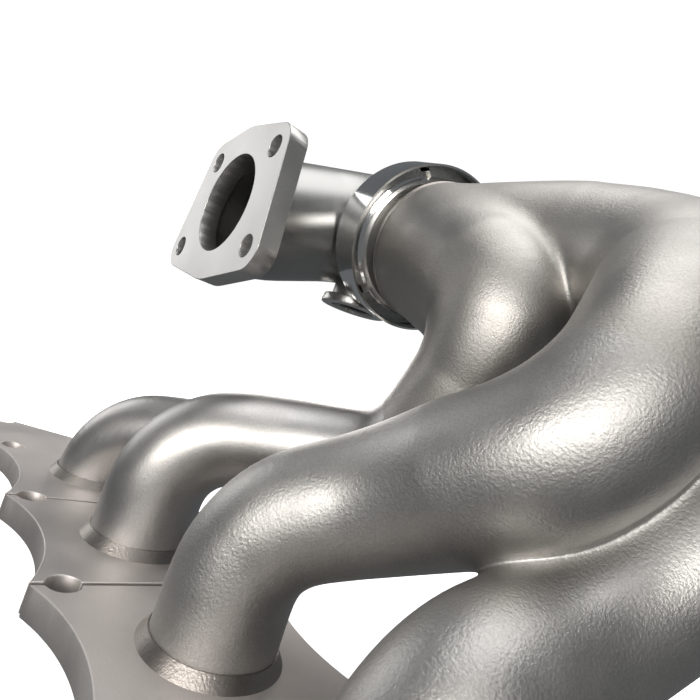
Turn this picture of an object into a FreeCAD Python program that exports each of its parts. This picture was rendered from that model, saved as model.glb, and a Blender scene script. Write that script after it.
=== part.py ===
# Exhaust manifold for a four-cylinder engine, in millimetres.
# Origin: centre of the head bolt pattern on the gasket face of the head flange.
# +X runs along the row of ports, +Y across the flange towards the collector, +Z away from the head.
import FreeCAD, Part
import math
import os
from FreeCAD import Placement, Rotation, Vector

doc = FreeCAD.newDocument("exhaust_manifold")
sheet = doc.addObject("Spreadsheet::Sheet", "Dimensions")

DIMENSIONS = {
    # head flange
    "flange_thickness": 12,
    "flange_half_width": 53,
    "port_pitch": 88,
    "port_radius": 21,
    "slit_width": 2,
    "head_hole_radius": 6.5,
    "head_hole_offset": 41,
    "scallop_radius": 95,
    "scallop_depth": 10.5,
    "near_end": 198,
    "far_end": 244,
    "corner_radius": 9,
    # runners
    "runner_radius": 23,
    "runner_wall": 3,
    "foot_weld_radius": 26.5,
    "foot_weld_height": 4.5,
    # collector
    "neck_radius": 39,
    "casting_wall": 3.5,
    # V-band joint, measured along the outlet axis from the front rim of the clamp
    "hub_radius": 39.5,
    "hub_bore": 35,
    "hub_weld_radius": 41.2,
    "rim_radius": 45.5,
    "slope_start": 3.5,
    "slope_end": 7.4,
    "joint_face": 13,
    "seal_thickness": 1,
    "seal_inner_radius": 38,
    "seal_outer_radius": 43,
    "hub_length": 13.5,
    "band_width": 27,
    "band_radius": 50,
    "band_thickness": 1.2,
    "band_gap_angle": 14,
    "retainer_angle": 106,
    "retainer_thickness": 2,
    # clamp closing hardware
    "loop_reach": 54.5,
    "loop_spread": 14,
    "loop_radius": 6.5,
    "pin_radius": 4,
    "pin_clearance": 0.08,
    "loop_width": 4.5,
    "bolt_radius": 3,
    "bolt_length": 52,
    "nut_flats": 10,
    "nut_height": 6,
    # adapter elbow and turbine flange
    "elbow_radius": 38,
    "elbow_wall": 3,
    "elbow_bend": 40,
    "turbine_thickness": 12,
    "turbine_bore": 31,
    "turbine_boss": 49,
    "turbine_ear": 14,
    "turbine_hole_radius": 6.5,
    # wastegate port
    "gate_radius": 17.5,
    "gate_bore": 14,
    "gate_seat": 15.5,
    "gate_flange_radius": 23,
    "gate_flange_thickness": 6,
}
for row, (alias, value) in enumerate(DIMENSIONS.items(), start=1):
    sheet.set(f"A{row}", alias)
    sheet.set(f"B{row}", str(value))
    sheet.setAlias(f"B{row}", alias)
doc.recompute()


def size(alias):
    return float(sheet.get(alias))


# ---- places worked out from the driving dimensions ----

PITCH = size("port_pitch")
PORT_X = [(number - 1.5) * PITCH for number in range(4)]
HOLE_X = [(number - 2) * PITCH for number in range(5)]
FLANGE_TOP = size("flange_thickness")

# Outlet axis of the collector: OUTLET is the centre of the clamp's front rim,
# and OUTLET_AXIS points out of the manifold.
OUTLET = Vector(-25, 105.7, 206)
OUTLET_AXIS = Vector(-0.9467, 0.1682, 0.2745).normalize()
ACROSS = (Vector(0, 1, 0) - OUTLET_AXIS * OUTLET_AXIS.y).normalize()
DOWN = OUTLET_AXIS.cross(ACROSS)
JOINT_PLACE = Placement(OUTLET, Rotation(ACROSS, DOWN, OUTLET_AXIS, "ZXY"))

# The turbine flange faces -Y; TURBINE is the centre of its sealing face.
TURBINE = Vector(-101.7, 7, 194.8)
# Bolt holes of the turbine flange, from the bore's centre: X and Z.
TURBINE_HOLES = [(47, -28), (-49, -28), (-34, 30), (40, 30)]

# Wastegate port under the elbow: centre of its flange's lower face.
GATE = Vector(-91, 115, 165)

# Merge centres of the collector, with the radius of the shell round each.
MERGE = Vector(48, 91, 182)
MERGE_RADIUS = 35
LOWER_ARM = Vector(40, 91, 120)
LOWER_ARM_RADIUS = 26
UPPER_ARM = Vector(62, 116, 205)
UPPER_ARM_RADIUS = 33
UPPER_BEND = Vector(108, 109, 194)
UPPER_BEND_RADIUS = 28


def on_outlet(distance):
    """A point on the outlet axis, the distance measured outwards from the clamp's front rim."""
    return OUTLET + OUTLET_AXIS * distance


# Corner points of each runner's centreline, from the flange to the collector.
RUNNER_POINTS = [
    [(PORT_X[0], 0, FLANGE_TOP), (PORT_X[0], 0, 44), (-56, 54, 64), (0, 116, 69), (22, 117, 130), (40, 98, 180)],
    [(PORT_X[1], 0, FLANGE_TOP), (PORT_X[1], 0, 67), (-13, 55, 78), (27, 84, 86), (41, 92, 128)],
    [(PORT_X[2], 0, FLANGE_TOP), (PORT_X[2], 0, 58), (70, 32, 79), (137, 45, 124), (127, 82, 183), (104, 112, 195)],
    [(PORT_X[3], 0, FLANGE_TOP), (PORT_X[3], 0, 50), (136, 60, 67), (166, 98, 128), (148, 110, 186),
     (90, 119, 200)],
]


# ---- helpers ----

def bound(obj, **links):
    """Tie properties of an object to cells of the sheet."""
    for name, expression in links.items():
        obj.setExpression(name, expression)
    return obj


def cylinder(name, radius, height, place):
    obj = doc.addObject("Part::Cylinder", name)
    bound(obj, Radius=radius, Height=height)
    obj.Placement = place
    return obj


def cone(name, lower, upper, height, place):
    obj = doc.addObject("Part::Cone", name)
    bound(obj, Radius1=lower, Radius2=upper, Height=height)
    obj.Placement = place
    return obj


def fused(name, shapes):
    obj = doc.addObject("Part::MultiFuse", name)
    obj.Shapes = shapes
    return obj


def cut(name, base, tools):
    """Base less the tools, as one parametric cut."""
    tool = tools[0] if len(tools) == 1 else fused(name + "_tools", tools)
    obj = doc.addObject("Part::Cut", name)
    obj.Base = base
    obj.Tool = tool
    return obj


def feature(name, shape):
    obj = doc.addObject("Part::Feature", name)
    obj.Shape = shape
    return obj


def along(start, direction):
    """Placement that turns +Z to a direction and moves the origin to a start point."""
    return Placement(start, Rotation(Vector(0, 0, 1), direction))


def joint_place(across=0, down=0, out=0, turn=0):
    """Placement in the V-band joint's frame: X across, Y down, Z out along the outlet axis."""
    local = Placement(Vector(across, down, out), Rotation(Vector(0, 0, 1), turn))
    return JOINT_PLACE.multiply(local)


def corner_radii(points, largest=1e6):
    """Bend radius at each inner corner: as large as the runs on both sides allow."""
    radii = []
    last = len(points) - 2
    for index in range(1, len(points) - 1):
        before = points[index] - points[index - 1]
        after = points[index + 1] - points[index]
        share_before = 0.97 if index == 1 else 0.49
        share_after = 0.97 if index == last else 0.49
        reach = min(before.Length * share_before, after.Length * share_after)
        radii.append(min(largest, reach / math.tan(before.getAngle(after) / 2)))
    return radii


def centreline(corners, radii=None):
    """A wire of straight runs joined by tangent arcs through the corner points."""
    points = [Vector(*corner) for corner in corners]
    radii = radii or corner_radii(points)
    edges = []
    here = points[0]
    for index, radius in enumerate(radii, start=1):
        corner = points[index]
        arriving = (corner - points[index - 1]).normalize()
        leaving = (points[index + 1] - corner).normalize()
        half_turn = arriving.getAngle(leaving) / 2
        reach = radius * math.tan(half_turn)
        start = corner - arriving * reach
        end = corner + leaving * reach
        inward = (leaving - arriving).normalize()
        middle = corner + inward * (radius / math.cos(half_turn) - radius)
        if (start - here).Length > 1e-3:
            edges.append(Part.LineSegment(here, start).toShape())
        edges.append(Part.Arc(start, middle, end).toShape())
        here = end
    if (points[-1] - here).Length > 1e-3:
        edges.append(Part.LineSegment(here, points[-1]).toShape())
    return Part.Wire(edges)


def swept(name, route, radius):
    """A round bar of the bound radius along a route."""
    path = route.Shape
    profile = doc.addObject("Part::Circle", name + "_profile")
    bound(profile, Radius=radius)
    first = path.Edges[0]
    profile.Placement = along(first.valueAt(first.FirstParameter), first.tangentAt(first.FirstParameter))
    sweep = doc.addObject("Part::Sweep", name)
    sweep.Sections = [profile]
    sweep.Spine = (route, [f"Edge{number}" for number in range(1, len(path.Edges) + 1)])
    sweep.Solid = True
    return sweep


def tapered(name, start, start_radius, end, end_radius, wall):
    """A round cone between two centres, less the wall, with a ball at its far end."""
    run = end - start
    bar = doc.addObject("Part::Cone", name)
    bound(bar, Radius1=f"{start_radius} - {wall}", Radius2=f"{end_radius} - {wall}")
    bar.Height = run.Length
    bar.Placement = along(start, run)
    ball = doc.addObject("Part::Sphere", name + "_ball")
    bound(ball, Radius=f"{end_radius} - {wall}")
    ball.Placement = Placement(end, Rotation())
    return [bar, ball]


PARTS = []


def node(obj, label):
    """Name an object as one piece of the assembly."""
    obj.Label = label
    PARTS.append(obj)
    return obj


# ---- head flange: four sections with a slit through the bolt holes between them ----

def flange_section(number):
    name = f"head_flange_{number + 1}"
    plate = doc.addObject("Part::Box", name + "_plate")
    low = f"{number - 2} * Dimensions.port_pitch + Dimensions.slit_width / 2"
    high = f"{number - 1} * Dimensions.port_pitch - Dimensions.slit_width / 2"
    if number == 0:
        low = "-Dimensions.far_end"
    if number == 3:
        high = "Dimensions.near_end"
    bound(plate, Length=f"({high}) - ({low})", Width="2 * Dimensions.flange_half_width",
          Height="Dimensions.flange_thickness")
    plate.setExpression(".Placement.Base.x", low)
    plate.setExpression(".Placement.Base.y", "-Dimensions.flange_half_width")
    tools = [cylinder(name + "_port", "Dimensions.port_radius", "Dimensions.flange_thickness",
                      Placement(Vector(PORT_X[number], 0, 0), Rotation()))]
    for side in (-1, 1):
        reach = size("flange_half_width") - size("scallop_depth") + size("scallop_radius")
        tools.append(cylinder(f"{name}_scallop_{side + 1}", "Dimensions.scallop_radius",
                              "Dimensions.flange_thickness",
                              Placement(Vector(PORT_X[number], side * reach, 0), Rotation())))
        for hole_x in HOLE_X[number:number + 2]:
            place = Placement(Vector(hole_x, side * size("head_hole_offset"), 0), Rotation())
            tools.append(cylinder(f"{name}_hole_{side + 1}_{int(hole_x)}", "Dimensions.head_hole_radius",
                                  "Dimensions.flange_thickness", place))
    if number == 0:
        tools += far_end_tools(name)
    return cut(name, plate, tools)


def far_end_tools(name):
    """The slanted far end of the flange, with an open bolt slot in its corner."""
    slant = doc.addObject("Part::Box", name + "_slant")
    bound(slant, Length="Dimensions.flange_half_width", Width="4 * Dimensions.flange_half_width",
          Height="Dimensions.flange_thickness")
    turn = Rotation(Vector(0, 0, 1), -27)
    corner = Vector(-size("far_end") - 4, -size("flange_half_width"), 0)
    slant.Placement = Placement(corner + turn.multVec(Vector(-size("flange_half_width"), -30, 0)), turn)
    place = Placement(Vector(-size("far_end") + 6, -size("head_hole_offset"), 0), Rotation())
    slot = cylinder(name + "_slot", "Dimensions.head_hole_radius", "Dimensions.flange_thickness", place)
    return [slant, slot]


def near_corner_edges(shape):
    """Indices of the two upright edges at the flange's near end."""
    found = []
    for index, edge in enumerate(shape.Edges, start=1):
        low = edge.BoundBox
        upright = low.XLength < 1e-3 and low.YLength < 1e-3
        if upright and low.XMin > size("near_end") - 1:
            found.append(index)
    return found


def rounded_end(section):
    doc.recompute()
    section.Label = section.Name + "_square"
    radius = size("corner_radius")
    fillet = doc.addObject("Part::Fillet", section.Name + "_rounded")
    fillet.Base = section
    fillet.Edges = [(index, radius, radius) for index in near_corner_edges(section.Shape)]
    return fillet


for section_number in range(4):
    piece = flange_section(section_number)
    if section_number == 3:
        piece = rounded_end(piece)
    node(piece, f"head_flange_{section_number + 1}")


# ---- runners and collector: solid outer and inner volumes first, then the walls ----

runner_outer = []
runner_inner = []
for runner_number, corners in enumerate(RUNNER_POINTS, start=1):
    runner_route = feature(f"runner_{runner_number}_route", centreline(corners))
    runner_outer.append(swept(f"runner_{runner_number}_outer", runner_route, "Dimensions.runner_radius"))
    runner_inner.append(swept(f"runner_{runner_number}_inner", runner_route,
                              "Dimensions.runner_radius - Dimensions.runner_wall"))


def collector_volume(name, wall):
    """Neck, merge ball and the two arms of the collector, all drawn in by the wall."""
    neck = "Dimensions.neck_radius"
    neck_bar = cylinder(name + "_neck", f"{neck} - {wall}", "30", along(on_outlet(-10), -OUTLET_AXIS))
    bars = [neck_bar]
    bars += tapered(name + "_merge", on_outlet(-16), f"{neck} - 1.5", MERGE, MERGE_RADIUS, wall)
    bars += tapered(name + "_lower", MERGE, MERGE_RADIUS - 3, LOWER_ARM, LOWER_ARM_RADIUS, wall)
    bars += tapered(name + "_upper", on_outlet(-34), f"{neck} - 6", UPPER_ARM, UPPER_ARM_RADIUS, wall)
    bars += tapered(name + "_bend", UPPER_ARM, UPPER_ARM_RADIUS - 2, UPPER_BEND, UPPER_BEND_RADIUS, wall)
    return fused(name, bars)


collector_outer = collector_volume("collector_outer", "0")
collector_inner = collector_volume("collector_inner", "Dimensions.casting_wall")
collector = cut("collector", collector_outer, [collector_inner] + runner_inner)
node(collector, "collector")

# Each runner ends at the collector's skin; the outer ones also end at their neighbour's skin.
NEIGHBOURS = {1: [2], 2: [], 3: [], 4: [3]}
for runner_number in range(1, 5):
    tools = [runner_inner[runner_number - 1], collector_outer]
    tools += [runner_outer[other - 1] for other in NEIGHBOURS[runner_number]]
    runner = cut(f"runner_{runner_number}", runner_outer[runner_number - 1], tools)
    node(runner, f"runner_{runner_number}")


def foot_weld(number):
    """Fillet weld between a runner's foot and the flange."""
    name = f"foot_weld_{number + 1}"
    place = Placement(Vector(PORT_X[number], 0, FLANGE_TOP), Rotation())
    bead = cone(name + "_bead", "Dimensions.foot_weld_radius", "Dimensions.runner_radius + 0.6",
                "Dimensions.foot_weld_height", place)
    return cut(name, bead, [runner_outer[number]])


for weld_number in range(4):
    node(foot_weld(weld_number), f"foot_weld_{weld_number + 1}")


# ---- V-band joint ----

def weld_flange(name, far_side):
    """One weld-on V-band flange: hub, sloped shoulder and rim, bored through."""
    place = joint_place()
    if far_side:
        middle = size("joint_face") + size("seal_thickness") / 2
        flip = Placement(Vector(0, 0, 2 * middle), Rotation(Vector(1, 0, 0), 180))
        place = JOINT_PLACE.multiply(flip)
    hub_low = size("slope_start") - size("hub_length")
    if far_side:
        hub_low = -2
    hub = cylinder(name + "_hub", "Dimensions.hub_radius", f"Dimensions.joint_face - ({hub_low})",
                   place.multiply(Placement(Vector(0, 0, hub_low), Rotation())))
    slope = cone(name + "_slope", "Dimensions.hub_radius", "Dimensions.rim_radius",
                 "Dimensions.slope_end - Dimensions.slope_start",
                 place.multiply(Placement(Vector(0, 0, size("slope_start")), Rotation())))
    rim = cylinder(name + "_rim", "Dimensions.rim_radius", "Dimensions.joint_face - Dimensions.slope_end",
                   place.multiply(Placement(Vector(0, 0, size("slope_end")), Rotation())))
    bore = cylinder(name + "_bore", "Dimensions.hub_bore", "40",
                    place.multiply(Placement(Vector(0, 0, -15), Rotation())))
    return cut(name, fused(name + "_solid", [hub, slope, rim]), [bore])


node(weld_flange("outlet_v_flange", False), "outlet_v_flange")
node(weld_flange("adapter_v_flange", True), "adapter_v_flange")

seal_place = joint_place(out=size("joint_face"))
seal = cut("v_band_seal",
           cylinder("seal_disc", "Dimensions.seal_outer_radius", "Dimensions.seal_thickness", seal_place),
           [cylinder("seal_bore", "Dimensions.seal_inner_radius", "Dimensions.seal_thickness", seal_place)])
node(seal, "v_band_seal")

neck_weld = cut("neck_weld",
                cone("neck_weld_bead", "Dimensions.neck_radius + 0.2", "Dimensions.hub_weld_radius", "3",
                     joint_place(out=-10 - 3)),
                [cylinder("neck_weld_bore", "Dimensions.hub_bore", "3", joint_place(out=-13)), collector_outer])
node(neck_weld, "neck_weld")


def retainer_section():
    """Half-open V channel: radius and distance out, mirrored about the joint's middle."""
    middle = size("joint_face") + size("seal_thickness") / 2
    thickness = size("retainer_thickness")
    slope = math.atan2(size("slope_end") - size("slope_start"), size("rim_radius") - size("hub_radius"))
    back = size("band_radius") - size("band_thickness") - 0.05
    leg = 7.3
    crown = 6.5
    outer_corner = Vector(back, middle - crown, 0)
    leg_tip = outer_corner - Vector(math.cos(slope), math.sin(slope), 0) * leg
    inward = Vector(-math.sin(slope), math.cos(slope), 0) * thickness
    inner_corner_out = outer_corner + inward
    half = [outer_corner, leg_tip, leg_tip + inward, inner_corner_out]
    mirrored = [Vector(point.x, 2 * middle - point.y, 0) for point in reversed(half)]
    return half + mirrored


def retainer(number, centre_angle):
    """One rolled V-channel segment spot-welded inside the band."""
    name = f"v_retainer_{number}"
    body = doc.addObject("PartDesign::Body", name)
    sketch = body.newObject("Sketcher::SketchObject", name + "_section")
    plane = next(item for item in body.Origin.OriginFeatures if item.Role == "XZ_Plane")
    sketch.AttachmentSupport = [(plane, "")]
    sketch.MapMode = "FlatFace"
    points = retainer_section()
    for index, point in enumerate(points):
        following = points[(index + 1) % len(points)]
        sketch.addGeometry(Part.LineSegment(point, following), False)
    channel = body.newObject("PartDesign::Revolution", name + "_channel")
    channel.Profile = sketch
    channel.ReferenceAxis = (sketch, ["V_Axis"])
    channel.Midplane = True
    channel.setExpression("Angle", "Dimensions.retainer_angle")
    body.Placement = joint_place(turn=centre_angle)
    return body


RETAINER_STEP = 113
for retainer_number, offset in enumerate((-1, 0, 1), start=1):
    node(retainer(retainer_number, 180 + offset * RETAINER_STEP), f"v_retainer_{retainer_number}")


def sector_ring(name, radius, bore, start_angle, sweep_angle):
    """Part of a thin ring as wide as the band."""
    ring = cylinder(name + "_outer", radius, "Dimensions.band_width", joint_place(turn=start_angle))
    ring.setExpression("Angle", sweep_angle)
    hole = cylinder(name + "_bore", bore, "Dimensions.band_width", joint_place())
    return cut(name + "_strap", ring, [hole])


def band():
    """Outer strap whose two ends are rolled into pairs of loops."""
    strap = sector_ring("band", "Dimensions.band_radius", "Dimensions.band_radius - Dimensions.band_thickness",
                        size("band_gap_angle"), "360 - 2 * Dimensions.band_gap_angle")
    loops = []
    holes = []
    for side in (-1, 1):
        for order, out in enumerate((1.5, size("band_width") - size("loop_width") - 1.5)):
            place = joint_place(across=size("loop_reach"), down=side * size("loop_spread"), out=out)
            loops.append(cylinder(f"loop_{side + 1}_{order}", "Dimensions.loop_radius",
                                  "Dimensions.loop_width", place))
        place = joint_place(across=size("loop_reach"), down=side * size("loop_spread"))
        holes.append(cylinder(f"loop_hole_{side + 1}", "Dimensions.pin_radius + Dimensions.pin_clearance",
                              "Dimensions.band_width", place))
    clear = cylinder("band_clear", "Dimensions.band_radius - Dimensions.band_thickness",
                     "Dimensions.band_width", joint_place())
    return cut("clamp_band", fused("band_solid", [strap] + loops), holes + [clear])


node(band(), "clamp_band")

PIN_LENGTH = size("band_width") - 2


def saddle():
    """Pin in the lower loops with a slot, open outwards, that the T-bolt drops into."""
    pin = cylinder("saddle_pin", "Dimensions.pin_radius + Dimensions.pin_clearance", str(PIN_LENGTH),
                   joint_place(across=size("loop_reach"), down=size("loop_spread"), out=1))
    slot = doc.addObject("Part::Box", "saddle_slot")
    bound(slot, Length="20", Width="4 * Dimensions.pin_radius", Height="2 * Dimensions.bolt_radius + 0.8")
    slot.Placement = joint_place(across=size("loop_reach") - size("bolt_radius") - 0.4,
                                 down=size("loop_spread") - 2 * size("pin_radius"),
                                 out=size("band_width") / 2 - size("bolt_radius") - 0.4)
    return cut("clamp_saddle", pin, [slot])


node(saddle(), "clamp_saddle")


def down_place(down):
    """Placement on the T-bolt's axis with +Z pointing down along it."""
    start = JOINT_PLACE.multVec(Vector(size("loop_reach"), down, size("band_width") / 2))
    return along(start, DOWN)


def t_bolt():
    head = cylinder("t_bolt_head", "Dimensions.pin_radius", str(PIN_LENGTH),
                    joint_place(across=size("loop_reach"), down=-size("loop_spread"), out=1))
    shank = cylinder("t_bolt_shank", "Dimensions.bolt_radius", "Dimensions.bolt_length",
                     down_place(-size("loop_spread")))
    return fused("t_bolt", [head, shank])


node(t_bolt(), "t_bolt")


def lock_nut():
    """Hexagon nut just clear of the saddle."""
    start = size("loop_spread") + size("pin_radius") + 0.5
    prism = doc.addObject("Part::Prism", "nut_prism")
    prism.Polygon = 6
    bound(prism, Circumradius="Dimensions.nut_flats / sqrt(3)", Height="Dimensions.nut_height")
    prism.Placement = down_place(start)
    hole = cylinder("nut_hole", "Dimensions.bolt_radius + 0.05", "Dimensions.nut_height", down_place(start))
    return cut("lock_nut", prism, [hole])


node(lock_nut(), "lock_nut")


# ---- adapter elbow, turbine flange and wastegate port ----

elbow_start = on_outlet(2 * size("joint_face") + size("seal_thickness") + 2)
turn_reach = 52
elbow_corner = elbow_start + OUTLET_AXIS * turn_reach
turbine_back = TURBINE + Vector(0, size("turbine_thickness"), 0)
flange_corner = turbine_back + Vector(0, 12, 0)
elbow_points = [elbow_start, elbow_corner, flange_corner, turbine_back]
elbow_radii = corner_radii(elbow_points)
elbow_radii[0] = size("elbow_bend")
elbow_radii[1] = min(elbow_radii[1], 60)
elbow_route = feature("elbow_route", centreline(elbow_points, elbow_radii))
elbow_outer = swept("elbow_outer", elbow_route, "Dimensions.elbow_radius")
elbow_inner = swept("elbow_inner", elbow_route, "Dimensions.elbow_radius - Dimensions.elbow_wall")

gate_top = GATE + Vector(0, 0, size("gate_flange_thickness"))
gate_reach = elbow_start.z + 10 - gate_top.z
gate_port = cylinder("gate_port", "Dimensions.gate_bore", str(gate_reach), Placement(gate_top, Rotation()))
node(cut("adapter_elbow", elbow_outer, [elbow_inner, gate_port]), "adapter_elbow")


def hull_outline(circles):
    """Convex outline of a set of circles, given anticlockwise as centre and radius: lines and arcs."""
    count = len(circles)
    tangents = []
    for index in range(count):
        first, first_radius = circles[index]
        second, second_radius = circles[(index + 1) % count]
        run = second - first
        heading = math.atan2(run.y, run.x)
        lean = math.asin((first_radius - second_radius) / run.Length)
        out = Vector(math.sin(heading + lean), -math.cos(heading + lean), 0)
        tangents.append((first + out * first_radius, second + out * second_radius, heading + lean))
    edges = []
    for index in range(count):
        leave, arrive, heading = tangents[index]
        edges.append(Part.LineSegment(leave, arrive).toShape())
        following, _, next_heading = tangents[(index + 1) % count]
        centre, radius = circles[(index + 1) % count]
        turn = (next_heading - heading) % (2 * math.pi)
        bisector = heading + turn / 2
        middle = centre + Vector(math.sin(bisector), -math.cos(bisector), 0) * radius
        edges.append(Part.Arc(arrive, middle, following).toShape())
    return Part.Wire(edges)


def turbine_flange():
    """Plate round the bore and its four bolt ears."""
    ear = size("turbine_ear")
    lower_right, lower_left, upper_left, upper_right = (Vector(x, z, 0) for x, z in TURBINE_HOLES)
    boss = (Vector(0, 0, 0), size("turbine_boss"))
    circles = [(lower_right, ear), (upper_right, ear), boss, (upper_left, ear), (lower_left, ear), boss]
    outline = feature("turbine_outline", hull_outline(circles))
    face = Placement(TURBINE, Rotation(Vector(1, 0, 0), Vector(0, 0, 1), Vector(0, -1, 0), "ZXY"))
    plate = doc.addObject("Part::Extrusion", "turbine_plate")
    plate.Base = outline
    plate.DirMode = "Custom"
    plate.Dir = Vector(0, 0, -1)
    plate.Solid = True
    plate.setExpression("LengthFwd", "Dimensions.turbine_thickness")
    plate.Placement = face
    inward = Vector(0, 1, 0)
    tools = [cylinder("turbine_bore", "Dimensions.turbine_bore", "Dimensions.turbine_thickness",
                      along(TURBINE, inward))]
    for number, (hole_x, hole_z) in enumerate(TURBINE_HOLES, start=1):
        place = along(TURBINE + Vector(hole_x, 0, hole_z), inward)
        tools.append(cylinder(f"turbine_hole_{number}", "Dimensions.turbine_hole_radius",
                              "Dimensions.turbine_thickness", place))
    return cut("turbine_flange", plate, tools)


node(turbine_flange(), "turbine_flange")

turbine_weld = cut("turbine_weld",
                   cone("turbine_weld_bead", "Dimensions.elbow_radius + 3.5", "Dimensions.elbow_radius + 0.3",
                        "3.5", along(turbine_back, Vector(0, 1, 0))),
                   [elbow_outer])
node(turbine_weld, "turbine_weld")

gate_stub = cut("wastegate_stub",
                cylinder("gate_stub_bar", "Dimensions.gate_radius", str(gate_reach), Placement(gate_top, Rotation())),
                [gate_port, elbow_outer])
node(gate_stub, "wastegate_stub")

gate_plate = cylinder("gate_plate", "Dimensions.gate_flange_radius", "Dimensions.gate_flange_thickness",
                      Placement(GATE, Rotation()))
gate_hole = cylinder("gate_hole", "Dimensions.gate_seat", "Dimensions.gate_flange_thickness",
                     Placement(GATE, Rotation()))
node(cut("wastegate_flange", gate_plate, [gate_hole]), "wastegate_flange")

# ---- check and write ----

doc.recompute()
for checked in doc.Objects:
    if "Invalid" in checked.State or "Error" in checked.State:
        raise RuntimeError(f"{checked.Name} failed: {checked.State}")
os.makedirs("parts", exist_ok=True)
for part in PARTS:
    shape = part.Shape
    if shape.isNull() or not shape.isValid() or not shape.Solids:
        raise RuntimeError(f"{part.Label} has no valid solid")
    shape.exportStep(f"parts/{part.Label}.step")
    print(part.Label, len(shape.Solids), round(shape.Volume), shape.BoundBox)
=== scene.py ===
import bpy
import bmesh
import math
import numpy as np
from mathutils import Matrix, Vector


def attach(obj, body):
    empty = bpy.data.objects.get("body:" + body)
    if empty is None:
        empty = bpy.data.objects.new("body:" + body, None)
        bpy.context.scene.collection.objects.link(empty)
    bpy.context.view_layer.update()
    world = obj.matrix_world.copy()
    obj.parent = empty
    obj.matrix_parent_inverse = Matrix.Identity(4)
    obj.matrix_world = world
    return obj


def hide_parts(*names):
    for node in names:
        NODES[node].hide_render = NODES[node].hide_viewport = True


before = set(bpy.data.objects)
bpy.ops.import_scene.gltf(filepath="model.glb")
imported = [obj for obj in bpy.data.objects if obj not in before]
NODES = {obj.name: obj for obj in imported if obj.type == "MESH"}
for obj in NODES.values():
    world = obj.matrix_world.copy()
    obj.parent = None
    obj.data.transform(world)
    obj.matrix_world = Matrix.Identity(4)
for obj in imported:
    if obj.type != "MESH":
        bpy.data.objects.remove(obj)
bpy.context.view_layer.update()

MM = 0.001
SCENE = bpy.context.scene


# ---- places, in millimetres, repeated from the CAD ----

PORT_X = (-132.0, -44.0, 44.0, 132.0)
FLANGE_TOP = 12.0
TUBE = 23.0
OUTLET = np.array([-25.0, 105.7, 206.0])
AXIS = np.array([-0.9467, 0.1682, 0.2745])
AXIS /= np.linalg.norm(AXIS)
MOUTH = OUTLET + AXIS * -10


# ---- camera ----

def make_camera():
    """The camera, close in front of the last runner."""
    data = bpy.data.cameras.new("camera")
    data.lens = 27.14
    data.sensor_width = 36.0
    data.clip_start = 0.002
    data.clip_end = 50.0
    camera = bpy.data.objects.new("camera", data)
    right = Vector((0.6058, 0.7300, 0.3163)).normalized()
    forward = Vector((-0.7810, 0.6215, 0.0613)).normalized()
    up = right.cross(forward).normalized()
    turn = Matrix((right, up, -forward)).transposed().to_4x4()
    camera.matrix_world = Matrix.Translation((0.20349, -0.10977, 0.11522)) @ turn
    SCENE.collection.objects.link(camera)
    SCENE.camera = camera


# ---- smooth round limbs: centrelines with a radius at every point ----

def rounded_route(corners, step=3.0):
    """Straight runs joined by arcs as large as the runs allow, as evenly spaced points."""
    corners = [np.array(corner, float) for corner in corners]
    last = len(corners) - 2
    points = [corners[0]]
    for index in range(1, len(corners) - 1):
        before, corner, after = corners[index - 1:index + 2]
        run_in, run_out = corner - before, after - corner
        arriving = run_in / np.linalg.norm(run_in)
        leaving = run_out / np.linalg.norm(run_out)
        turn = math.acos(float(np.clip(arriving @ leaving, -1, 1)))
        share_in = 0.97 if index == 1 else 0.49
        share_out = 0.97 if index == last else 0.49
        reach = min(np.linalg.norm(run_in) * share_in, np.linalg.norm(run_out) * share_out)
        radius = reach / math.tan(turn / 2)
        inward = leaving - arriving * (arriving @ leaving)
        inward /= np.linalg.norm(inward)
        start = corner - arriving * reach
        centre = start + inward * radius
        for angle in np.linspace(0, turn, max(4, int(radius * turn / step))):
            points.append(centre - inward * radius * math.cos(angle) + arriving * radius * math.sin(angle))
    points.append(corners[-1])
    points = np.array(points)
    length = np.r_[0, np.cumsum(np.linalg.norm(np.diff(points, axis=0), axis=1))]
    even = np.linspace(0, length[-1], max(3, int(length[-1] / step)))
    return np.stack([np.interp(even, length, points[:, axis]) for axis in range(3)], axis=1)


def softened(points, passes=6):
    """Evens out the change of curvature between runs and arcs, with the ends held."""
    for _ in range(passes):
        points[1:-1] = points[1:-1] * 0.5 + (points[:-2] + points[2:]) * 0.25
    return points


def limb(corners, radii):
    """Centreline points and the outer radius at each."""
    points = softened(rounded_route(corners))
    along = np.linspace(0, 1, len(points))
    return points, np.interp(along, np.linspace(0, 1, len(radii)), radii)


RUNNER_ROUTES = (
    [(PORT_X[0], 0, FLANGE_TOP), (PORT_X[0], 0, 44), (-56, 54, 64),
     (0, 116, 69), (22, 117, 130), (40, 98, 180)],
    [(PORT_X[1], 0, FLANGE_TOP), (PORT_X[1], 0, 67), (-13, 55, 78), (27, 84, 86), (44, 87, 128)],
    [(PORT_X[2], 0, FLANGE_TOP), (PORT_X[2], 0, 58), (70, 32, 79), (137, 45, 124),
     (126, 83, 183), (103, 120, 199), (61, 125, 210), MOUTH],
    [(PORT_X[3], 0, FLANGE_TOP), (PORT_X[3], 0, 50), (136, 60, 67),
     (166, 98, 128), (148, 110, 186), (92, 120, 200)],
)
RUNNER_RADII = ((TUBE, TUBE), (TUBE, TUBE), (TUBE, TUBE, 25, 27.8, 27, 27, 27, 34, 38.5, 39, 39),
                (TUBE, TUBE, TUBE, 24, 26))
LOWER_ROUTE = [(27, 85, 86), (52, 83.5, 141), (52.5, 91, 174), MOUTH]
LOWER_RADII = (23, 22.5, 24.5, 32, 37.5, 39, 39)
UPPER_START = 0.47

LIMBS = {f"runner_{number}": limb(route, radii)
         for number, (route, radii) in enumerate(zip(RUNNER_ROUTES, RUNNER_RADII), start=1)}
LIMBS["lower_arm"] = limb(LOWER_ROUTE, LOWER_RADII)
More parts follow.
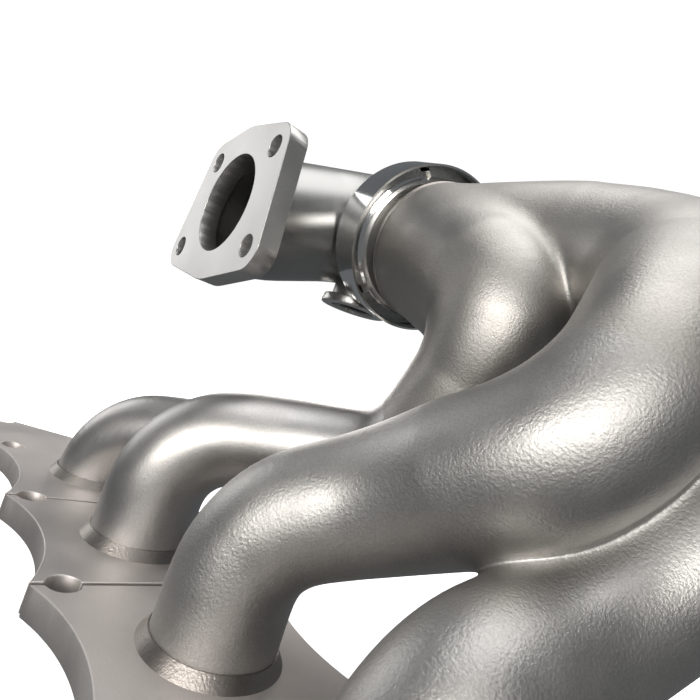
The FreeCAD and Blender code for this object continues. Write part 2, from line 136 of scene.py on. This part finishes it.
# Runner 3 runs on without a step as the collector's upper arm.
UPPER_POINTS, UPPER_RADII = LIMBS["runner_3"]
UPPER_INDEX = int(UPPER_START * len(UPPER_POINTS))
LIMBS["runner_3"] = (UPPER_POINTS[:UPPER_INDEX + 1], UPPER_RADII[:UPPER_INDEX + 1])
LIMBS["upper_arm"] = (UPPER_POINTS[UPPER_INDEX:], UPPER_RADII[UPPER_INDEX:])


# ---- distance field of the welded casting, and its surface ----

PITCH = 1.5
FIELD_LOW = np.array([-160.0, -30.0, FLANGE_TOP - 4 * PITCH])
FIELD_HIGH = np.array([204.0, 172.0, 258.0])
FIELD_COUNT = np.ceil((FIELD_HIGH - FIELD_LOW) / PITCH).astype(int) + 1
FAR = 24.0
WALL = 3.0
# Fillets: runner 1 on runner 2, the lower arm on both, and the dome on runners 3 and 4.
PAIR_WIDTH = 8.0
ARM_WIDTH = 9.0
BODY_WIDTH = 6.0
# The fillet of runner 4 on runner 3 widens with height, from its start over its rise.
CROTCH_WIDTH = 5.0
CROTCH_GROWTH = 19.0
CROTCH_START = 120
CROTCH_RISE = 45
MOUTH_REACH = 80
END_ZONE = 1.5 * PITCH
# How much nearer to a runner than to an arm a face has to be to belong to the runner.
ARM_LEAD = 1.0


def limb_field(points, radii):
    """Signed distance to one limb at every grid point, held at a far value away from it."""
    field = np.full(FIELD_COUNT, FAR, np.float32)
    for start, end, start_radius, end_radius in zip(points[:-1], points[1:], radii[:-1], radii[1:]):
        margin = max(start_radius, end_radius) + FAR
        low = np.floor((np.minimum(start, end) - margin - FIELD_LOW) / PITCH).astype(int)
        high = np.ceil((np.maximum(start, end) + margin - FIELD_LOW) / PITCH).astype(int) + 1
        low = np.maximum(0, low)
        high = np.minimum(FIELD_COUNT, high)
        if np.any(high <= low):
            continue
        axes = [(FIELD_LOW[k] + PITCH * np.arange(low[k], high[k])).astype(np.float32) for k in range(3)]
        x, y, z = axes[0][:, None, None], axes[1][None, :, None], axes[2][None, None, :]
        run = end - start
        square = float(run @ run)
        part = ((x - start[0]) * run[0] + (y - start[1]) * run[1] + (z - start[2]) * run[2]) / square
        np.clip(part, 0, 1, out=part)
        distance = np.sqrt((x - start[0] - part * run[0]) ** 2 + (y - start[1] - part * run[1]) ** 2
                           + (z - start[2] - part * run[2]) ** 2)
        distance -= start_radius + part * (end_radius - start_radius)
        box = tuple(slice(low[k], high[k]) for k in range(3))
        np.minimum(field[box], distance, out=field[box])
    return field


def melted(first, second, width):
    """Union of two fields with a fillet of about the given width."""
    blend = np.maximum(width - np.abs(first - second), 0) / width
    return np.minimum(first, second) - blend * blend * width * 0.25


def grid_offsets(origin):
    """Coordinates of the grid planes less those of an origin, each shaped to spread over the grid."""
    x, y, z = ((FIELD_LOW[k] + PITCH * np.arange(FIELD_COUNT[k])).astype(np.float32) - np.float32(origin[k])
               for k in range(3))
    return x[:, None, None], y[None, :, None], z[None, None, :]


def plane_field(point, normal):
    """Signed distance to a plane, positive on the side its normal points to."""
    x, y, z = grid_offsets(point)
    return x * np.float32(normal[0]) + y * np.float32(normal[1]) + z * np.float32(normal[2])


def ball_field(centre, radius):
    """Depth inside a ball, negative outside it."""
    x, y, z = grid_offsets(centre)
    return np.float32(radius) - np.sqrt(x ** 2 + y ** 2 + z ** 2)


def sampled(field, places):
    """The field at places given in millimetres, by trilinear interpolation."""
    where = (places - FIELD_LOW) / PITCH
    where = np.clip(where, 0, np.array(field.shape) - 1.001)
    cell = np.floor(where).astype(int)
    part = where - cell
    total = np.zeros(len(places))
    for corner in range(8):
        offset = np.array([corner & 1, corner >> 1 & 1, corner >> 2 & 1])
        weight = np.prod(np.where(offset, part, 1 - part), axis=1)
        index = cell + offset
        total += weight * field[index[:, 0], index[:, 1], index[:, 2]]
    return total


def slope(field, places, reach):
    """Direction in which the field grows at each place."""
    columns = []
    for axis in range(3):
        shift = np.zeros(3)
        shift[axis] = reach
        columns.append(sampled(field, places + shift) - sampled(field, places - shift))
    direction = np.stack(columns, axis=1)
    return direction / np.maximum(np.linalg.norm(direction, axis=1), 1e-9)[:, None]


def surface(field):
    """Quads on the zero surface of a field: one vertex in each cell that it passes through."""
    inside = field < 0
    count = np.array(field.shape) - 1
    total = np.zeros(tuple(count) + (3,), np.float32)
    crossings = np.zeros(tuple(count), np.int16)
    for axis in range(3):
        ahead = [slice(None)] * 3
        behind = [slice(None)] * 3
        ahead[axis] = slice(1, None)
        behind[axis] = slice(None, -1)
        first, second = field[tuple(behind)], field[tuple(ahead)]
        crosses = (first < 0) != (second < 0)
        part = np.where(crosses, first / np.where(crosses, first - second, 1), 0)
        others = [other for other in range(3) if other != axis]
        for step_one in (0, 1):
            for step_two in (0, 1):
                window = [slice(None)] * 3
                window[others[0]] = slice(step_one, step_one + count[others[0]])
                window[others[1]] = slice(step_two, step_two + count[others[1]])
                hit = crosses[tuple(window)]
                crossings += hit
                total[..., axis] += part[tuple(window)] * hit
                total[..., others[0]] += step_one * hit
                total[..., others[1]] += step_two * hit
    used = crossings > 0
    number = np.full(tuple(count), -1, np.int64)
    number[used] = np.arange(used.sum())
    cells = np.argwhere(used)
    places = FIELD_LOW + PITCH * (cells + total[used] / crossings[used][:, None])
    quads = []
    for axis in range(3):
        others = [other for other in range(3) if other != axis]
        middle = [slice(1, -1)] * 3
        middle[axis] = slice(None, -1)
        ahead = [slice(1, -1)] * 3
        ahead[axis] = slice(1, None)
        first, second = inside[tuple(middle)], inside[tuple(ahead)]
        edges = np.argwhere(first != second)
        outwards = first[first != second]
        ring = []
        for step_one, step_two in ((0, 0), (1, 0), (1, 1), (0, 1)):
            index = edges.copy()
            index[:, others[0]] += step_one
            index[:, others[1]] += step_two
            ring.append(number[index[:, 0], index[:, 1], index[:, 2]])
        ring = np.stack(ring, axis=1)
        turned = outwards if axis != 1 else ~outwards
        ring[~turned] = ring[~turned][:, ::-1]
        quads.append(ring)
    return places, np.concatenate(quads)


def casting_fields():
    """Outer and inner fields of the runners and collector as one welded body."""
    outer = {name: limb_field(*LIMBS[name]) for name in LIMBS}
    long_arm = np.minimum(outer["runner_3"], outer["upper_arm"])
    height = (FIELD_LOW[2] + PITCH * np.arange(FIELD_COUNT[2]) - CROTCH_START) / CROTCH_RISE
    rise = np.clip(height, 0, 1).astype(np.float32)[None, None, :]
    shell = melted(long_arm, outer["runner_4"], CROTCH_WIDTH + CROTCH_GROWTH * rise * rise * (3 - 2 * rise))
    dome = melted(outer["lower_arm"], melted(outer["runner_2"], outer["runner_1"], PAIR_WIDTH), ARM_WIDTH)
    body = melted(dome, shell, BODY_WIDTH)
    hollow = np.full(FIELD_COUNT, FAR, np.float32)
    for points, radii in LIMBS.values():
        np.minimum(hollow, limb_field(points, radii - WALL), out=hollow)
    return outer, body, hollow


def piece_of(name, places, faces, normals):
    """A smooth mesh object from points in millimetres."""
    mesh = bpy.data.meshes.new(name)
    mesh.from_pydata((np.asarray(places) * MM).tolist(), [], faces.tolist())
    mesh.update()
    mesh.polygons.foreach_set("use_smooth", [True] * len(mesh.polygons))
    mesh.normals_split_custom_set_from_vertices(normals.tolist())
    obj = bpy.data.objects.new(name, mesh)
    SCENE.collection.objects.link(obj)
    return obj


def make_casting(materials):
    """Runners and collector as smooth thin shells that meet without a step."""
    outer, body, hollow = casting_fields()
    foot = plane_field((0, 0, FLANGE_TOP), (0, 0, 1))
    mouth = np.minimum(plane_field(MOUTH, AXIS), ball_field(OUTLET, MOUTH_REACH))
    solid = np.maximum(np.maximum(body, -hollow), np.maximum(-foot, mouth))
    places, quads = surface(solid)
    skin = sampled(body, places)
    lining = sampled(hollow, places)
    outside = np.abs(skin) < np.abs(lining)
    near_end = (places[:, 2] < FLANGE_TOP + END_ZONE) | ((places - MOUTH) @ AXIS > -END_ZONE)
    for _ in range(2):
        shift = slope(body, places, PITCH) * sampled(body, places)[:, None]
        places -= np.where((outside & ~near_end)[:, None], shift, 0)
    normals = slope(solid, places, PITCH)
    outward = slope(body, places, 1.2 * PITCH)
    normals[outside & ~near_end] = outward[outside & ~near_end]

    names = ["runner_1", "runner_2", "runner_3", "runner_4", "collector"]
    middle = places[quads].mean(axis=1)
    near = np.stack([sampled(outer[name], middle) for name in names[:4]])
    arms = np.minimum(sampled(outer["lower_arm"], middle), sampled(outer["upper_arm"], middle)) - ARM_LEAD
    owner = np.argmin(np.vstack([near, arms]), axis=0)
    for index, name in enumerate(names):
        own = quads[owner == index]
        used, renumbered = np.unique(own, return_inverse=True)
        obj = piece_of(name + "_shell", places[used], renumbered.reshape(own.shape), normals[used])
        obj.data.materials.append(materials[name])
        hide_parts(name)
        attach(obj, "manifold")


# ---- materials ----

def shader(name, base, rough, metal=1.0):
    """A new material with its nodes: (material, node tree, main shader)."""
    material = bpy.data.materials.new(name)
    material.use_nodes = True
    tree = material.node_tree
    main = tree.nodes["Principled BSDF"]
    main.inputs["Base Color"].default_value = (*base, 1)
    main.inputs["Roughness"].default_value = rough
    main.inputs["Metallic"].default_value = metal
    return material, tree, main


def texture(tree, kind, scale, detail=2.0, stretch=(1, 1, 1), rough=0.5):
    """A noise or voronoi texture in object space, in metres."""
    place = tree.nodes.new("ShaderNodeTexCoord")
    mapping = tree.nodes.new("ShaderNodeMapping")
    mapping.inputs["Scale"].default_value = stretch
    tree.links.new(place.outputs["Object"], mapping.inputs["Vector"])
    node = tree.nodes.new({"noise": "ShaderNodeTexNoise", "voronoi": "ShaderNodeTexVoronoi"}[kind])
    node.inputs["Scale"].default_value = scale
    if kind == "noise":
        node.inputs["Detail"].default_value = detail
        node.inputs["Roughness"].default_value = rough
    tree.links.new(mapping.outputs["Vector"], node.inputs["Vector"])
    return node.outputs[0]


def ramp(tree, source, stops):
    """A colour ramp on a source: stops are (place, colour)."""
    node = tree.nodes.new("ShaderNodeValToRGB")
    tree.links.new(source, node.inputs["Fac"])
    elements = node.color_ramp.elements
    while len(elements) < len(stops):
        elements.new(0.5)
    for element, (place, colour) in zip(elements, stops):
        element.position = place
        element.color = (*colour, 1) if len(colour) == 3 else colour
    return node.outputs["Color"]


def grey(value):
    """A neutral colour."""
    return (value, value, value)


def mixed(tree, mode, factor, first, second):
    """Mix of two colours; factor is a number or an output."""
    node = tree.nodes.new("ShaderNodeMix")
    node.data_type = "RGBA"
    node.blend_type = mode
    for value, socket in ((factor, node.inputs[0]), (first, node.inputs[6]), (second, node.inputs[7])):
        if isinstance(value, bpy.types.NodeSocket):
            tree.links.new(value, socket)
        elif isinstance(value, (int, float)):
            socket.default_value = value
        else:
            socket.default_value = (*value, 1)
    return node.outputs[2]


def bumped(tree, main, layers):
    """Chain of bump nodes: each layer is (height output, strength, distance in metres)."""
    normal = None
    for height, strength, distance in layers:
        bump = tree.nodes.new("ShaderNodeBump")
        bump.inputs["Strength"].default_value = strength
        bump.inputs["Distance"].default_value = distance
        tree.links.new(height, bump.inputs["Height"])
        if normal is not None:
            tree.links.new(normal, bump.inputs["Normal"])
        normal = bump.outputs["Normal"]
    tree.links.new(normal, main.inputs["Normal"])


def blasted(name, base, tint, rough, grain, pits):
    """Bead-blasted steel: orange-peel grain, small pits and slow colour changes."""
    material, tree, main = shader(name, base, rough)
    slow = texture(tree, "noise", 14.0, 3.0)
    patches = ramp(tree, slow, [(0.35, base), (0.65, tint)])
    speckle = texture(tree, "noise", 1500.0, 2.0)
    shade = ramp(tree, speckle, [(0.3, grey(0.72)), (0.7, grey(1.0))])
    tree.links.new(mixed(tree, "MULTIPLY", 0.6, patches, shade), main.inputs["Base Color"])
    smear = texture(tree, "noise", 40.0, 4.0)
    tree.links.new(ramp(tree, smear, [(0.3, grey(rough - 0.06)), (0.75, grey(rough + 0.08))]),
                   main.inputs["Roughness"])
    fine = texture(tree, "noise", 1500.0, 3.0, rough=0.6)
    coarse = texture(tree, "noise", 950.0, 3.0)
    hollows = ramp(tree, texture(tree, "voronoi", 420.0), [(0.0, grey(0.0)), (0.22, grey(1.0))])
    bumped(tree, main, [(coarse, 0.6, grain * 1.7), (fine, 0.6, grain), (hollows, 0.4, pits)])
    return material


def satin(name, base, tint, rough, stretch=(1, 1, 1)):
    """Brushed or linished tube."""
    material, tree, main = shader(name, base, rough)
    slow = texture(tree, "noise", 10.0, 3.0)
    patches = ramp(tree, slow, [(0.3, base), (0.7, tint)])
    fine = texture(tree, "noise", 900.0, 2.0, stretch)
    shade = ramp(tree, fine, [(0.3, grey(0.82)), (0.7, grey(1.0))])
    tree.links.new(mixed(tree, "MULTIPLY", 0.5, patches, shade), main.inputs["Base Color"])
    tree.links.new(ramp(tree, fine, [(0.2, grey(rough - 0.05)), (0.8, grey(rough + 0.07))]),
                   main.inputs["Roughness"])
    bumped(tree, main, [(texture(tree, "noise", 60.0, 3.0), 0.15, 0.0004), (fine, 0.18, 0.00006)])
    return material


def milled(name, base, rough, stretch, scale=700.0):
    """Milled or ground face with faint tool marks along one direction."""
    material, tree, main = shader(name, base, rough)
    lines = texture(tree, "noise", scale, 2.0, stretch)
    cloud = texture(tree, "noise", 25.0, 4.0)
    shade = ramp(tree, lines, [(0.3, grey(0.86)), (0.7, grey(1.0))])
    haze = ramp(tree, cloud, [(0.35, tuple(value * 0.86 for value in base)), (0.65, base)])
    tree.links.new(mixed(tree, "MULTIPLY", 0.5, haze, shade), main.inputs["Base Color"])
    tree.links.new(ramp(tree, cloud, [(0.3, grey(rough - 0.05)), (0.7, grey(rough + 0.06))]),
                   main.inputs["Roughness"])
    bumped(tree, main, [(lines, 0.12, 0.00005)])
    return material


MATERIALS = {
    "runner_satin": blasted("runner_satin", (0.47, 0.46, 0.45), (0.51, 0.485, 0.46),
                            0.40, 0.00005, 0.00003),
    "runner_blasted": blasted("runner_blasted", (0.41, 0.40, 0.385), (0.46, 0.445, 0.425),
                              0.46, 0.00013, 0.00010),
    "collector_tinted": blasted("collector_tinted", (0.40, 0.385, 0.365), (0.45, 0.43, 0.40),
                                0.48, 0.00012, 0.00009),
    "weld": blasted("weld", (0.40, 0.37, 0.34), (0.30, 0.27, 0.25), 0.34, 0.0001, 0.0001),
    "flange_milled": milled("flange_milled", (0.64, 0.60, 0.575), 0.55, (1, 8, 1)),
    "turbine_milled": milled("turbine_milled", (0.50, 0.49, 0.475), 0.40, (8, 1, 1)),
    "joint_turned": milled("joint_turned", (0.58, 0.57, 0.55), 0.28, (1, 1, 1)),
    "strap_polished": milled("strap_polished", (0.80, 0.80, 0.79), 0.09, (1, 1, 1), 300.0),
    "bright_steel": milled("bright_steel", (0.62, 0.62, 0.60), 0.22, (1, 1, 1)),
    "seal": milled("seal", (0.58, 0.58, 0.56), 0.25, (1, 1, 1)),
    "elbow_satin": satin("elbow_satin", (0.33, 0.33, 0.32), (0.38, 0.37, 0.36), 0.36),
}
NODE_MATERIALS = {
    "adapter_elbow": "elbow_satin",
    "wastegate_stub": "elbow_satin",
    "wastegate_flange": "joint_turned",
    "turbine_flange": "turbine_milled",
    "outlet_v_flange": "joint_turned",
    "adapter_v_flange": "joint_turned",
    "v_band_seal": "seal",
    "clamp_band": "strap_polished",
    "clamp_saddle": "bright_steel",
    "t_bolt": "bright_steel",
    "lock_nut": "bright_steel",
    "neck_weld": "weld",
    "turbine_weld": "weld",
}
for number in range(1, 5):
    NODE_MATERIALS[f"head_flange_{number}"] = "flange_milled"
    NODE_MATERIALS[f"foot_weld_{number}"] = "weld"
for number in range(1, 4):
    NODE_MATERIALS[f"v_retainer_{number}"] = "strap_polished"


def dress(obj, material):
    """One material all over an object."""
    obj.data.materials.clear()
    obj.data.materials.append(material)


def eased(obj, width, angle=35):
    """Small round on a CAD piece's sharp edges."""
    weld = obj.modifiers.new("joined", "WELD")
    weld.merge_threshold = 0.00001
    flat = obj.modifiers.new("flat", "DECIMATE")
    flat.decimate_type = "DISSOLVE"
    flat.angle_limit = math.radians(1)
    bevel = obj.modifiers.new("eased", "BEVEL")
    bevel.width = width
    bevel.segments = 2
    bevel.limit_method = "ANGLE"
    bevel.angle_limit = math.radians(angle)
    bevel.harden_normals = True


for node_name, material_name in NODE_MATERIALS.items():
    dress(NODES[node_name], MATERIALS[material_name])
for node_name in ("turbine_flange", "head_flange_1", "head_flange_2", "head_flange_3", "head_flange_4",
                  "wastegate_flange"):
    eased(NODES[node_name], 0.0006)


# ---- floor, backdrop and lights ----

def glowing(name, colour, strength):
    """A material that only gives off light."""
    material = bpy.data.materials.new(name)
    material.use_nodes = True
    tree = material.node_tree
    tree.nodes.clear()
    glow = tree.nodes.new("ShaderNodeEmission")
    glow.inputs["Color"].default_value = (*colour, 1)
    glow.inputs["Strength"].default_value = strength
    out = tree.nodes.new("ShaderNodeOutputMaterial")
    tree.links.new(glow.outputs["Emission"], out.inputs["Surface"])
    return material


def make_studio():
    """Pale floor, white surroundings and soft lights."""
    half = 6.0
    mesh = bpy.data.meshes.new("floor")
    corners = [(-half, -half, 0), (half, -half, 0), (half, half, 0), (-half, half, 0)]
    mesh.from_pydata(corners, [], [(0, 1, 2, 3)])
    floor = bpy.data.objects.new("floor", mesh)
    floor.location.z = -0.0005
    SCENE.collection.objects.link(floor)
    pale, _, main = shader("pale_floor", (0.9, 0.9, 0.9), 0.9, 0.0)
    main.inputs["Emission Color"].default_value = (1, 1, 1, 1)
    main.inputs["Emission Strength"].default_value = 0.97
    mesh.materials.append(pale)
    floor.visible_glossy = False
    floor.visible_diffuse = False

    dome = bmesh.new()
    bmesh.ops.create_uvsphere(dome, u_segments=32, v_segments=16, radius=12.0)
    mesh = bpy.data.meshes.new("backdrop")
    dome.to_mesh(mesh)
    dome.free()
    backdrop = bpy.data.objects.new("backdrop", mesh)
    SCENE.collection.objects.link(backdrop)
    mesh.materials.append(glowing("white_paper", (1, 1, 1), 1.05))
    for kind in ("visible_diffuse", "visible_glossy", "visible_transmission", "visible_shadow"):
        setattr(backdrop, kind, False)

    world = bpy.data.worlds.new("studio")
    SCENE.world = world
    world.use_nodes = True
    ground = world.node_tree.nodes["Background"]
    ground.inputs["Color"].default_value = (0.9, 0.95, 1.0, 1)
    ground.inputs["Strength"].default_value = 0.16


def softbox(name, place, target, width, height, power, colour=(1, 1, 1)):
    """A rectangular light turned towards a target."""
    data = bpy.data.lights.new(name, "AREA")
    data.shape = "RECTANGLE"
    data.size = width
    data.size_y = height
    data.energy = power
    data.color = colour
    obj = bpy.data.objects.new(name, data)
    obj.location = place
    obj.rotation_mode = "QUATERNION"
    obj.rotation_quaternion = (Vector(target) - Vector(place)).to_track_quat("-Z", "Y")
    SCENE.collection.objects.link(obj)


make_camera()
make_casting({
    "runner_1": MATERIALS["runner_satin"],
    "runner_2": MATERIALS["runner_satin"],
    "runner_3": MATERIALS["runner_blasted"],
    "runner_4": MATERIALS["runner_blasted"],
    "collector": MATERIALS["collector_tinted"],
})
make_studio()
CENTRE = (0.0, 0.06, 0.12)
softbox("front", (0.85, -1.15, 0.5), CENTRE, 1.5, 0.6, 25, (1.0, 0.98, 0.95))
softbox("top", (0.1, 0.1, 1.5), CENTRE, 1.4, 1.2, 15)
softbox("left", (-1.5, -0.6, 0.6), CENTRE, 0.9, 1.0, 5.5)
softbox("far", (-1.3, 0.9, 0.5), CENTRE, 1.0, 0.6, 7, (1.0, 0.96, 0.93))
SCENE.view_settings.view_transform = "Standard"
